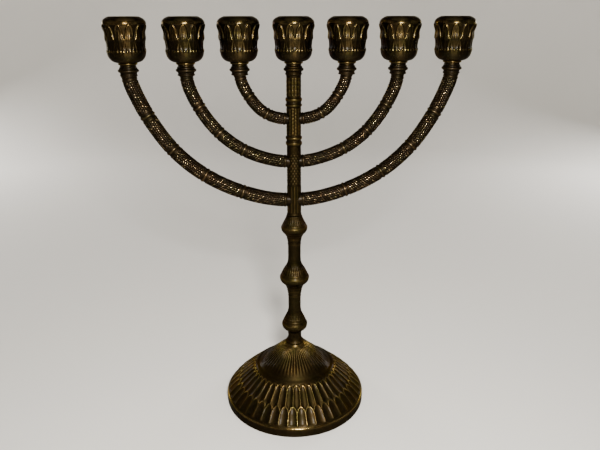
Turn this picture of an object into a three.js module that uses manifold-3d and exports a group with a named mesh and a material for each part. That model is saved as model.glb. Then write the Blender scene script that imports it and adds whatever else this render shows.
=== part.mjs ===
// Seven-branch table candelabrum in cast brass, modelled in millimetres, +Z up.
// Origin: the centre of the base rim, on the surface the candelabrum stands on.
// The seven cups stand in the plane Y = 0, with the branch tree symmetric about X = 0.
//
// The assembly, from the bottom: a hollow conical base, clamped from beneath by a nut
// and washer on a long tie rod; three turned stem sections threaded over the rod; a
// branch column with a blind tapped hole for the rod and six side sockets; six curved
// arms with a tenon at the column and a vertical seat at the tip; seven studs; and
// seven candle cups that screw down on the studs.

import * as THREE from 'three';
import * as BufferGeometryUtils from 'three/addons/utils/BufferGeometryUtils.js';
import Module from 'manifold-3d';

const wasm = await Module();
wasm.setup();

// ---- driving dimensions -------------------------------------------------------------

const GAP = 0.3;               // clearance between parts that rest on each other

// base
const BASE_RADIUS = 56.2;
const BASE_RIM_HEIGHT = 5.6;
const BASE_TOP = 50.6;         // seat of the lowest stem section
const BASE_CROWN_UNDERSIDE = 43.5;
const BASE_WALL = 2.4;
const BASE_SEGMENTS = 36;

// tie rod, washer and nut
const ROD_RADIUS = 2.5;
const ROD_BOTTOM = 35.5;
const ROD_TOP = 165.6;
const ROD_HOLE_RADIUS = 2.85;
const WASHER_RADIUS = 7.0;
const WASHER_THICKNESS = 1.2;
const NUT_ACROSS_FLATS = 8.0;
const NUT_HEIGHT = 4.0;

// stem joints, heights above the table
const SEAM_LOWER_MIDDLE = 94.0;
const SEAM_MIDDLE_UPPER = 138.0;
const SEAM_UPPER_COLUMN = 159.0;
const STEM_SEGMENTS = 18;

// branch column
const COLUMN_RADIUS = 5.1;
const COLUMN_RING_RADIUS = 5.8;
const COLUMN_SHOULDER = 262.6; // where the cup seat starts
const COLUMN_SEGMENTS = 20;

// arms: junction height on the column, section radius and the cup's distance from the axis
const ARMS = {
  outer: {
    radius: 5.0, cupX: 112.2,
    path: [[0, 170.7], [10, 171.1], [20, 172.6], [30, 175.1], [40, 178.5], [50, 182.8], [60, 188.2],
      [70, 195.0], [80, 203.7], [90, 215.1], [100, 230.7], [104, 238.5], [107, 245.1], [109.6, 251.6],
      [111.4, 257.0], [112.1, 260.4], [112.2, 263.0]],
    rings: [10.2, 37.8, 64.5, 86.2, 102.0], steps: 18,
  },
  middle: {
    radius: 4.4, cupX: 73.6,
    path: [[0, 199.8], [10, 200.5], [20, 202.6], [30, 206.1], [40, 211.3], [50, 218.9], [55, 224.0],
      [60, 230.2], [64, 236.2], [67, 241.6], [70, 247.8], [72.2, 253.6], [73.4, 258.8], [73.6, 263.0]],
    rings: [10.2, 36.2, 53.1, 66.2], steps: 15,
  },
  inner: {
    radius: 4.0, cupX: 37.2,
    path: [[0, 230.8], [5, 231.0], [10, 231.6], [15, 232.9], [20, 235.3], [24, 238.2], [28, 242.5],
      [31, 246.8], [33.8, 251.6], [35.8, 256.0], [36.9, 260.0], [37.2, 263.0]],
    rings: [9.6, 19.3, 31.2], steps: 12,
  },
};
const ARM_SIDES = 8;
const RING_RISE = 0.6;         // how far a ring band stands above the arm
const RING_WIDTH = 3.2;
const TENON_RADIUS = 2.2;
const TENON_SOCKET_RADIUS = 2.55;
const TENON_DEPTH = 3.2;       // how far the tenon enters the column

// seat under each cup, on the arm tips and on the column top
const SEAT_BOTTOM = 262.6;
const SEAT_TOP = 267.4;
const SEAT_RADIUS = 6.9;

// studs
const STUD_RADIUS = 2.0;
const STUD_BOTTOM = 258.0;
const STUD_TOP = 273.6;
const STUD_HOLE_RADIUS = 2.3;  // in the seat
const CUP_THREAD_RADIUS = 2.12; // in the cup's foot, a running fit on the stud

// candle cups
const CUP_BOTTOM = SEAT_TOP + GAP;
const CUP_TOP = 300.0;
const CUP_LIP_RADIUS = 14.3;
const CUP_MOUTH_RADIUS = 8.6;
const CUP_FLOOR = 277.4;
const CUP_SEGMENTS = 18;

// ---- materials ------------------------------------------------------------------------

const brass = (hex, rough) => new THREE.MeshStandardMaterial({ color: hex, roughness: rough, metalness: 1.0 });
const BRASS_BASE = brass(0x5a4620, 0.38);
const BRASS_STEM = brass(0x53401d, 0.36);
const BRASS_ARM = brass(0x4c3b1c, 0.40);
const BRASS_CUP = brass(0x57431f, 0.32);
const STEEL = brass(0x77736a, 0.45);

// ---- helpers --------------------------------------------------------------------------

// A solid of revolution about Z from [r, z] pairs. The profile starts and ends on the
// axis, or closes on itself. It runs with rising z on the outside.
function turned(profile, segments) {
  const pts = profile.map(([r, z]) => new THREE.Vector2(r, z));
  const g = new THREE.LatheGeometry(pts, segments);
  g.rotateX(Math.PI / 2);
  return g;
}

// Position-only copy with shared vertices, and no zero-area faces.
function welded(geometry) {
  let g = geometry.clone();
  for (const name of Object.keys(g.attributes)) if (name !== 'position') g.deleteAttribute(name);
  if (!g.index) g = BufferGeometryUtils.mergeVertices(g, 1e-4);
  else g = BufferGeometryUtils.mergeVertices(g, 1e-4);
  const index = g.index.array, kept = [];
  for (let i = 0; i < index.length; i += 3) {
    const [a, b, c] = [index[i], index[i + 1], index[i + 2]];
    if (a !== b && b !== c && a !== c) kept.push(a, b, c);
  }
  g.setIndex(kept);
  return g;
}

function signedVolume(g) {
  const p = g.attributes.position, ix = g.index.array;
  const a = new THREE.Vector3(), b = new THREE.Vector3(), c = new THREE.Vector3();
  let v = 0;
  for (let i = 0; i < ix.length; i += 3) {
    a.fromBufferAttribute(p, ix[i]); b.fromBufferAttribute(p, ix[i + 1]); c.fromBufferAttribute(p, ix[i + 2]);
    v += a.dot(b.cross(c));
  }
  return v / 6;
}

// Welded copy whose faces point outwards.
function outward(geometry) {
  const g = welded(geometry);
  if (signedVolume(g) < 0) {
    const ix = g.index.array;
    for (let i = 0; i < ix.length; i += 3) [ix[i + 1], ix[i + 2]] = [ix[i + 2], ix[i + 1]];
  }
  return g;
}

function solid(geometry) {
  const g = outward(geometry);
  return new wasm.Manifold(new wasm.Mesh({
    numProp: 3,
    vertProperties: new Float32Array(g.attributes.position.array),
    triVerts: new Uint32Array(g.index.array),
  }));
}

function fromSolid(manifold) {
  const m = manifold.getMesh();
  const g = new THREE.BufferGeometry();
  g.setAttribute('position', new THREE.BufferAttribute(new Float32Array(m.vertProperties), 3));
  g.setIndex(Array.from(m.triVerts));
  return g;
}

function finish(geometry) {
  const g = geometry.toNonIndexed();
  g.computeVertexNormals();
  return g;
}

// A plain round bar between two heights on an axis parallel to Z.
function bar(radius, z0, z1, segments, x = 0) {
  const g = new THREE.CylinderGeometry(radius, radius, z1 - z0, segments);
  g.rotateX(Math.PI / 2);
  g.translate(x, 0, (z0 + z1) / 2);
  return g;
}

// A round bar along X.
function crossBar(radius, x0, x1, z, segments) {
  const g = new THREE.CylinderGeometry(radius, radius, x1 - x0, segments);
  g.rotateZ(Math.PI / 2);
  g.translate((x0 + x1) / 2, 0, z);
  return g;
}

const group = new THREE.Group();

function add(name, geometry, material, x = 0) {
  const mesh = new THREE.Mesh(finish(outward(geometry)), material);
  mesh.name = name;
  mesh.position.set(x, 0, 0);
  group.add(mesh);
}

// ---- base: a hollow cone with a vertical rim -----------------------------------------

add('base_shell', turned([
  [ROD_HOLE_RADIUS, BASE_CROWN_UNDERSIDE],
  [9.0, BASE_CROWN_UNDERSIDE],
  [14.0, 40.4],
  [26.0, 30.4],
  [38.0, 20.8],
  [48.0, 11.6],
  [BASE_RADIUS - BASE_WALL, BASE_RIM_HEIGHT - 0.8],
  [BASE_RADIUS - BASE_WALL, 0],
  [BASE_RADIUS, 0],
  [BASE_RADIUS, BASE_RIM_HEIGHT],
  [55.3, 8.3],
  [51.6, 12.1],
  [46.2, 17.3],
  [38.0, 24.4],
  [31.0, 30.3],
  [28.0, 32.0],
  [22.0, 37.4],
  [14.0, 44.2],
  [9.0, 48.4],
  [7.6, BASE_TOP],
  [ROD_HOLE_RADIUS, BASE_TOP],
  [ROD_HOLE_RADIUS, BASE_CROWN_UNDERSIDE],
], BASE_SEGMENTS), BRASS_BASE);

// ---- clamp under the crown -------------------------------------------------------------

const washerTop = BASE_CROWN_UNDERSIDE - GAP;
const washerBottom = washerTop - WASHER_THICKNESS;
add('base_washer', turned([
  [ROD_HOLE_RADIUS, washerBottom], [WASHER_RADIUS, washerBottom], [WASHER_RADIUS, washerTop],
  [ROD_HOLE_RADIUS, washerTop], [ROD_HOLE_RADIUS, washerBottom],
], 24), STEEL);

const nutTop = washerBottom - GAP;
const nutBottom = nutTop - NUT_HEIGHT;
add('base_nut', fromSolid(
  solid(bar(NUT_ACROSS_FLATS / Math.sqrt(3), nutBottom, nutTop, 6))
    .subtract(solid(bar(ROD_HOLE_RADIUS, nutBottom - 1, nutTop + 1, 16))),
), STEEL);

add('tie_rod', turned([
  [0, ROD_BOTTOM], [ROD_RADIUS - 0.6, ROD_BOTTOM], [ROD_RADIUS, ROD_BOTTOM + 0.6],
  [ROD_RADIUS, ROD_TOP - 0.6], [ROD_RADIUS - 0.6, ROD_TOP], [0, ROD_TOP],
], 14), STEEL);

// ---- stem sections, each a bell-shaped knop with a plain shaft above it ------------------

function stemSection(name, bottom, top, outside) {
  add(name, turned([
    [ROD_HOLE_RADIUS, bottom], ...outside, [ROD_HOLE_RADIUS, top], [ROD_HOLE_RADIUS, bottom],
  ], STEM_SEGMENTS), BRASS_STEM);
}

stemSection('stem_lower', BASE_TOP + GAP, SEAM_LOWER_MIDDLE - GAP / 2, [
  [7.3, BASE_TOP + GAP], [6.2, 52.6], [5.3, 54.6], [5.0, 56.6], [5.7, 59.4], [7.6, 61.6], [9.3, 63.4],
  [10.1, 65.6], [9.8, 67.6], [8.4, 70.9], [6.7, 74.5], [5.4, 77.8], [4.95, 81.0], [4.95, 90.0],
  [5.1, SEAM_LOWER_MIDDLE - GAP / 2],
]);
stemSection('stem_middle', SEAM_LOWER_MIDDLE + GAP / 2, SEAM_MIDDLE_UPPER - GAP / 2, [
  [5.5, SEAM_LOWER_MIDDLE + GAP / 2], [5.7, 97.0], [6.5, 99.4], [8.3, 102.6], [10.5, 104.4],
  [11.3, 106.4], [11.2, 108.2], [9.8, 111.4], [8.1, 114.8], [6.4, 117.6], [5.3, 120.4],
  [4.9, 125.0], [4.9, 133.0], [5.1, SEAM_MIDDLE_UPPER - GAP / 2],
]);
stemSection('stem_upper', SEAM_MIDDLE_UPPER + GAP / 2, SEAM_UPPER_COLUMN - GAP / 2, [
  [5.4, SEAM_MIDDLE_UPPER + GAP / 2], [5.9, 141.4], [8.1, 144.8], [9.6, 146.6], [9.95, 148.4],
  [9.5, 150.2], [8.1, 152.9], [6.7, 155.8], [5.7, SEAM_UPPER_COLUMN - GAP / 2],
]);

// ---- branch column ---------------------------------------------------------------------

// Outline of the seat that a cup screws down on, from its underside up.
const seatOutline = [
  [5.7, SEAT_BOTTOM], [5.8, SEAT_BOTTOM + 1.2], [SEAT_RADIUS, SEAT_BOTTOM + 2.0],
  [SEAT_RADIUS, SEAT_BOTTOM + 3.4], [6.2, SEAT_BOTTOM + 4.0], [6.0, SEAT_TOP],
];

{
  const R = COLUMN_RADIUS, K = COLUMN_RING_RADIUS, foot = SEAM_UPPER_COLUMN + GAP / 2;
  let body = solid(turned([
    [0, ROD_TOP + 0.5], [ROD_HOLE_RADIUS, ROD_TOP + 0.5], [ROD_HOLE_RADIUS, foot],
    [5.5, foot], [5.5, foot + 1.0], [R, foot + 1.8],
    [R, 211.4], [K, 212.4], [K, 214.6], [R, 215.6], [K, 216.6], [K, 218.4], [R, 219.4],
    [R, 239.2], [K, 240.0], [K, 241.4], [R, 242.4], [K, 243.6], [K, 245.6], [R, 246.6],
    [R, 260.4], ...seatOutline, [0, SEAT_TOP],
  ], COLUMN_SEGMENTS));
  for (const arm of Object.values(ARMS)) {
    const z = arm.path[0][1];
    const deep = COLUMN_RADIUS - TENON_DEPTH - GAP;
    body = body
      .subtract(solid(crossBar(TENON_SOCKET_RADIUS, deep, COLUMN_RADIUS + 2, z, 8)))
      .subtract(solid(crossBar(TENON_SOCKET_RADIUS, -COLUMN_RADIUS - 2, -deep, z, 8)));
  }
  body = body.subtract(solid(bar(STUD_HOLE_RADIUS, STUD_BOTTOM - GAP, SEAT_TOP + 1, 12)));
  add('branch_column', fromSolid(body), BRASS_STEM);
}

// ---- arms --------------------------------------------------------------------------------

function armSolid({ radius, path, rings, steps, cupX }) {
  const curve = new THREE.CatmullRomCurve3(path.map(([x, z]) => new THREE.Vector3(x, 0, z)), false, 'centripetal');
  const section = new THREE.Shape();
  for (let i = 0; i < ARM_SIDES; i++) {
    const a = (2 * Math.PI * (i + 0.5)) / ARM_SIDES;
    const x = radius * Math.cos(a), y = radius * Math.sin(a);
    if (i === 0) section.moveTo(x, y); else section.lineTo(x, y);
  }
  section.closePath();
  let body = solid(new THREE.ExtrudeGeometry(section, { steps, extrudePath: curve, bevelEnabled: false, curveSegments: 1 }));

  // raised ring bands, square to the arm
  for (const at of rings) {
    let t = 0.5, lo = 0, hi = 1;
    for (let k = 0; k < 40; k++) { t = (lo + hi) / 2; if (curve.getPointAt(t).x < at) lo = t; else hi = t; }
    const p = curve.getPointAt(t), d = curve.getTangentAt(t);
    const w = RING_WIDTH / 2, r = radius + RING_RISE;
    const g = turned([[0, -w], [r, -w], [r, w], [0, w]], 8);
    g.applyQuaternion(new THREE.Quaternion().setFromUnitVectors(new THREE.Vector3(0, 0, 1), d));
    g.translate(p.x, p.y, p.z);
    body = body.add(solid(g));
  }

  // the seat for the cup stands upright on the arm's tip
  const seat = turned([[0, SEAT_BOTTOM - 2.4], [radius - 0.1, SEAT_BOTTOM - 2.4], [radius + 0.5, SEAT_BOTTOM - 1.2],
    ...seatOutline, [0, SEAT_TOP]], 12);
  seat.translate(cupX, 0, 0);
  body = body.add(solid(seat));

  // mouth that follows the column, then the tenon that enters it
  const z = path[0][1];
  body = body.subtract(solid(bar(COLUMN_RADIUS + GAP, z - 12, z + 12, 20)));
  body = body.add(solid(crossBar(TENON_RADIUS, COLUMN_RADIUS - TENON_DEPTH, COLUMN_RADIUS + 3, z, 8)));

  // blind hole for the stud
  return body.subtract(solid(bar(STUD_HOLE_RADIUS, STUD_BOTTOM - GAP, SEAT_TOP + 1, 12, cupX)));
}

const bare = (name, g, material) => {
  const mesh = new THREE.Mesh(finish(outward(g)), material);
  mesh.name = name;
  group.add(mesh);
};

for (const [rank, arm] of Object.entries(ARMS)) {
  const right = fromSolid(armSolid(arm));
  bare(`arm_${rank}_right`, right, BRASS_ARM);
  const left = right.clone();
  left.scale(-1, 1, 1);
  bare(`arm_${rank}_left`, left, BRASS_ARM);
}

// ---- studs and cups ------------------------------------------------------------------------

const cupOutline = [
  [0, STUD_TOP + 0.6], [CUP_THREAD_RADIUS, STUD_TOP + 0.6], [CUP_THREAD_RADIUS, CUP_BOTTOM],
  [5.6, CUP_BOTTOM], [5.5, 269.2], [6.5, 270.3], [9.2, 271.2], [11.3, 272.9], [12.4, 274.9],
  [12.8, 277.4], [12.4, 280.4], [12.4, 285.0], [12.9, 289.0], [13.7, 291.6], [CUP_LIP_RADIUS, 293.2],
  [CUP_LIP_RADIUS, 294.6], [13.6, 296.6], [12.2, 298.4], [10.6, 299.5], [9.4, CUP_TOP],
  [CUP_MOUTH_RADIUS, 299.2], [CUP_MOUTH_RADIUS, CUP_FLOOR], [0, CUP_FLOOR],
];

const places = [
  ['outer_left', -ARMS.outer.cupX], ['middle_left', -ARMS.middle.cupX], ['inner_left', -ARMS.inner.cupX],
  ['centre', 0],
  ['inner_right', ARMS.inner.cupX], ['middle_right', ARMS.middle.cupX], ['outer_right', ARMS.outer.cupX],
];

for (const [place, x] of places) {
  add(`stud_${place}`, turned([
    [0, STUD_BOTTOM], [STUD_RADIUS - 0.4, STUD_BOTTOM], [STUD_RADIUS, STUD_BOTTOM + 0.4],
    [STUD_RADIUS, STUD_TOP - 0.4], [STUD_RADIUS - 0.4, STUD_TOP], [0, STUD_TOP],
  ], 14), STEEL, x);
  add(`cup_${place}`, turned(cupOutline, CUP_SEGMENTS), BRASS_CUP, x);
}

export default group;
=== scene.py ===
import math

import bpy
import numpy as np
from mathutils import Matrix, Vector


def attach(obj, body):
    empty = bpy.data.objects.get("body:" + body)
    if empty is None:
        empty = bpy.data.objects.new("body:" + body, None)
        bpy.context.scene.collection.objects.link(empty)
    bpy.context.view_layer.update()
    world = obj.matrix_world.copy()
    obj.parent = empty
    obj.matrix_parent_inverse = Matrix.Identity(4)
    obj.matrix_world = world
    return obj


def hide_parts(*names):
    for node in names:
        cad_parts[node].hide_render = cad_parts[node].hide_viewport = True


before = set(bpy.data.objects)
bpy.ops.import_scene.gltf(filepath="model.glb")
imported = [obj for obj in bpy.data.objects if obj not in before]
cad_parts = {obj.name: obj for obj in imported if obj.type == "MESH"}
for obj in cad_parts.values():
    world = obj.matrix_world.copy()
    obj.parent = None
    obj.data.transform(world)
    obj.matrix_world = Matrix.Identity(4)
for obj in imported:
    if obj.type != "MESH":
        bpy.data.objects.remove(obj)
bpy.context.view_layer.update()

MM = 0.001

# ------------------------------------------------------------------ camera

cam_data = bpy.data.cameras.new("view_camera")
cam_data.sensor_width = 36.0
cam_data.lens = 35.443
cam_data.clip_start, cam_data.clip_end = 0.02, 20.0
cam = bpy.data.objects.new("view_camera", cam_data)
bpy.context.scene.collection.objects.link(cam)
CAM = Vector((-31.767, -420.402, 302.930)) * MM
FWD = Vector((0.08057523, 0.93690986, -0.34015813)).normalized()
RIGHT = Vector((0.996294345, -0.086004595, -0.00088756)).normalized()
UP = RIGHT.cross(FWD).normalized()
cam.matrix_world = Matrix((
    (RIGHT.x, UP.x, -FWD.x, CAM.x),
    (RIGHT.y, UP.y, -FWD.y, CAM.y),
    (RIGHT.z, UP.z, -FWD.z, CAM.z),
    (0, 0, 0, 1)))
bpy.context.scene.camera = cam

# ------------------------------------------------------------------ dimensions, in millimetres

GAP = 0.3
BASE_TOP = 50.6
CROWN_UNDER = 43.5
BORE = 2.85
SEAMS = (94.0, 138.0, 159.0)
COL_R = 5.1
SEAT_BOTTOM, SEAT_TOP = 262.6, 267.4
CUP_FLOOR, CUP_MOUTH = 277.4, 8.6

ARMS = {
    "outer": dict(
        radius=5.0, cup_x=112.2, rows=18,
        path=[(0, 170.7), (10, 171.1), (20, 172.6), (30, 175.1), (40, 178.5), (50, 182.8), (60, 188.2),
              (70, 195.0), (80, 203.7), (90, 215.1), (100, 230.7), (104, 238.5), (107, 245.1), (109.6, 251.6),
              (111.4, 257.0), (112.1, 260.4), (112.2, 263.0)],
        rings=(10.2, 37.8, 64.5, 86.2, 102.0)),
    "middle": dict(
        radius=4.4, cup_x=73.6, rows=16,
        path=[(0, 199.8), (10, 200.5), (20, 202.6), (30, 206.1), (40, 211.3), (50, 218.9), (55, 224.0),
              (60, 230.2), (64, 236.2), (67, 241.6), (70, 247.8), (72.2, 253.6), (73.4, 258.8), (73.6, 263.0)],
        rings=(10.2, 36.2, 53.1, 66.2)),
    "inner": dict(
        radius=4.0, cup_x=37.2, rows=14,
        path=[(0, 230.8), (5, 231.0), (10, 231.6), (15, 232.9), (20, 235.3), (24, 238.2), (28, 242.5),
              (31, 246.8), (33.8, 251.6), (35.8, 256.0), (36.9, 260.0), (37.2, 263.0)],
        rings=(9.6, 19.3, 31.2)),
}

# ------------------------------------------------------------------ small maths


def smoothstep(a, b, x):
    t = np.clip((np.asarray(x, float) - a) / (b - a), 0, 1)
    return t * t * (3 - 2 * t)


def window(x, a0, a1, b1, b0):
    """0 outside a0..b0, 1 inside a1..b1."""
    return smoothstep(a0, a1, x) * (1 - smoothstep(b1, b0, x))


def bell(x, w):
    return np.exp(-(np.asarray(x, float) / w) ** 2)


def hash01(a, b=0.0, c=0.0):
    v = np.sin(np.asarray(a, float) * 127.1 + np.asarray(b, float) * 311.7 + c * 74.7) * 43758.5453
    return v - np.floor(v)


def spline(points, step):
    """Centripetal Catmull-Rom through the points, sampled about every step."""
    P = np.array(points, float)
    if len(P) == 2:
        n = max(1, int(math.ceil(np.linalg.norm(P[1] - P[0]) / step)))
        return P[0] + (P[1] - P[0]) * np.linspace(0, 1, n + 1)[:, None]
    ext = np.vstack([2 * P[0] - P[1], P, 2 * P[-1] - P[-2]])
    out = []
    for i in range(1, len(ext) - 2):
        p0, p1, p2, p3 = ext[i - 1], ext[i], ext[i + 1], ext[i + 2]
        t0 = 0.0
        t1 = t0 + max(np.linalg.norm(p1 - p0), 1e-6) ** 0.5
        t2 = t1 + max(np.linalg.norm(p2 - p1), 1e-6) ** 0.5
        t3 = t2 + max(np.linalg.norm(p3 - p2), 1e-6) ** 0.5
        n = max(1, int(math.ceil(np.linalg.norm(p2 - p1) / step)))
        t = np.linspace(t1, t2, n, endpoint=False)[:, None]
        a1 = (t1 - t) / (t1 - t0) * p0 + (t - t0) / (t1 - t0) * p1
        a2 = (t2 - t) / (t2 - t1) * p1 + (t - t1) / (t2 - t1) * p2
        a3 = (t3 - t) / (t3 - t2) * p2 + (t - t2) / (t3 - t2) * p3
        b1 = (t2 - t) / (t2 - t0) * a1 + (t - t0) / (t2 - t0) * a2
        b2 = (t3 - t) / (t3 - t1) * a2 + (t - t1) / (t3 - t1) * a3
        out.append((t2 - t) / (t2 - t1) * b1 + (t - t1) / (t2 - t1) * b2)
    out.append(P[-1:])
    return np.vstack(out)


def join(*runs):
    """Profile runs end to end, without the shared end points twice."""
    out = [np.asarray(runs[0], float)]
    for r in runs[1:]:
        r = np.asarray(r, float)
        if np.linalg.norm(out[-1][-1] - r[0]) < 1e-6:
            r = r[1:]
        out.append(r)
    return np.vstack(out)


def resample(P, step):
    """Even spacing along a polyline."""
    d = np.r_[0, np.cumsum(np.linalg.norm(np.diff(P, axis=0), axis=1))]
    n = max(2, int(round(d[-1] / step)) + 1)
    s = np.linspace(0, d[-1], n)
    return np.stack([np.interp(s, d, P[:, k]) for k in range(P.shape[1])], 1)


def blur(v, times):
    v = np.array(v, float)
    for _ in range(times):
        v[1:-1] = v[:-2] * 0.25 + v[1:-1] * 0.5 + v[2:] * 0.25
    return v


# ------------------------------------------------------------------ meshes


def make_mesh(name, verts_mm, quads, tris, wear_and_painted_light, smooth=True, polish=None):
    verts = np.asarray(verts_mm, np.float32) * MM
    quads = np.asarray(quads, np.int32).reshape(-1, 4)
    tris = np.asarray(tris, np.int32).reshape(-1, 3)
    me = bpy.data.meshes.new(name)
    me.vertices.add(len(verts))
    me.vertices.foreach_set("co", verts.ravel())
    loops = np.concatenate([quads.ravel(), tris.ravel()])
    totals = np.concatenate([np.full(len(quads), 4, np.int32), np.full(len(tris), 3, np.int32)])
    starts = np.concatenate([[0], np.cumsum(totals)[:-1]]).astype(np.int32)
    me.loops.add(len(loops))
    me.loops.foreach_set("vertex_index", loops)
    me.polygons.add(len(totals))
    me.polygons.foreach_set("loop_start", starts)
    me.polygons.foreach_set("loop_total", totals)
    me.polygons.foreach_set("use_smooth", np.full(len(totals), smooth, bool))
    me.update(calc_edges=True)
    # this attribute sets colour and roughness: rubbed metal on the relief, and on the base also painted highlights and
    # painted shade
    a = me.attributes.new("wear_and_painted_light", "FLOAT", "POINT")
    a.data.foreach_set("value", np.asarray(wear_and_painted_light, np.float32).ravel())
    a = me.attributes.new("polish", "FLOAT", "POINT")
    a.data.foreach_set("value", np.zeros(len(verts), np.float32) if polish is None else np.asarray(polish, np.float32).ravel())
    me.validate()
    ob = bpy.data.objects.new(name, me)
    bpy.context.scene.collection.objects.link(ob)
    return ob


def grid_faces(rows, cols, closed_rows=False):
    i = np.arange(rows if closed_rows else rows - 1)[:, None]
    j = np.arange(cols)[None, :]
    i2, j2 = (i + 1) % rows, (j + 1) % cols
    return np.stack([i * cols + j, i * cols + j2, i2 * cols + j2, i2 * cols + j], -1).reshape(-1, 4)


def turned(name, prof, cols, relief=None, centre=(0.0, 0.0), phase=0.0, base_wear=0.3):
    """A surface of revolution from an (r, z) profile, pushed out along its normal by relief(theta, r, z, s).
    A profile that starts and ends on the axis is closed by poles; any other is a closed loop."""
    prof = np.asarray(prof, float)
    poles = prof[0, 0] < 1e-6 and prof[-1, 0] < 1e-6
    if not poles and np.linalg.norm(prof[0] - prof[-1]) < 1e-6:
        prof = prof[:-1]
    if poles:
        t = np.gradient(prof, axis=0)
    else:
        t = np.roll(prof, -1, 0) - np.roll(prof, 1, 0)
    nrm = np.stack([t[:, 1], -t[:, 0]], 1)
    nrm /= np.maximum(np.linalg.norm(nrm, axis=1, keepdims=True), 1e-9)
    ring = prof[1:-1] if poles else prof
    rn = nrm[1:-1] if poles else nrm
    rows = len(ring)
    th = np.arange(cols) * 2 * math.pi / cols
    s = np.r_[0, np.cumsum(np.linalg.norm(np.diff(ring, axis=0), axis=1))]
    T, R = np.meshgrid(th, ring[:, 0])
    Z = np.repeat(ring[:, 1][:, None], cols, 1)
    S = np.repeat(s[:, None], cols, 1)
    outside = (rn[:, 0:1] > -0.2)
    if relief is not None:
        h, w, *rest = relief(T - phase, R, Z, S)
        h = h * outside
    else:
        h, w, rest = np.zeros_like(R), np.full_like(R, base_wear), []
    gloss = rest[0] if rest else np.zeros_like(R)
    RR = R + h * rn[:, 0:1]
    ZZ = Z + h * rn[:, 1:2]
    V = np.stack([RR * np.cos(T) + centre[0], RR * np.sin(T) + centre[1], ZZ], -1).reshape(-1, 3)
    quads = grid_faces(rows, cols, closed_rows=not poles)
    tris = []
    w = w.reshape(-1)
    gloss = gloss.reshape(-1)
    if poles:
        a, b = len(V), len(V) + 1
        V = np.vstack([V, [centre[0], centre[1], prof[0, 1]], [centre[0], centre[1], prof[-1, 1]]])
        w = np.r_[w, w[:cols].mean(), w[-cols:].mean()]
        gloss = np.r_[gloss, 0, 0]
        j = np.arange(cols)
        j2 = (j + 1) % cols
        last = (rows - 1) * cols
        tris = np.vstack([np.stack([np.full(cols, a), j2, j], 1), np.stack([np.full(cols, b), last + j, last + j2], 1)])
    return make_mesh(name, V, quads, tris, w, polish=gloss)


# ------------------------------------------------------------------ materials


def ramp(nodes, stops, interp="EASE"):
    n = nodes.new("ShaderNodeValToRGB")
    n.color_ramp.interpolation = interp
    e = n.color_ramp.elements
    while len(e) > 1:
        e.remove(e[-1])
    e[0].position, e[0].color = stops[0][0], (*stops[0][1], 1)
    for pos, col in stops[1:]:
        k = e.new(pos)
        k.color = (*col, 1)
    return n


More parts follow.
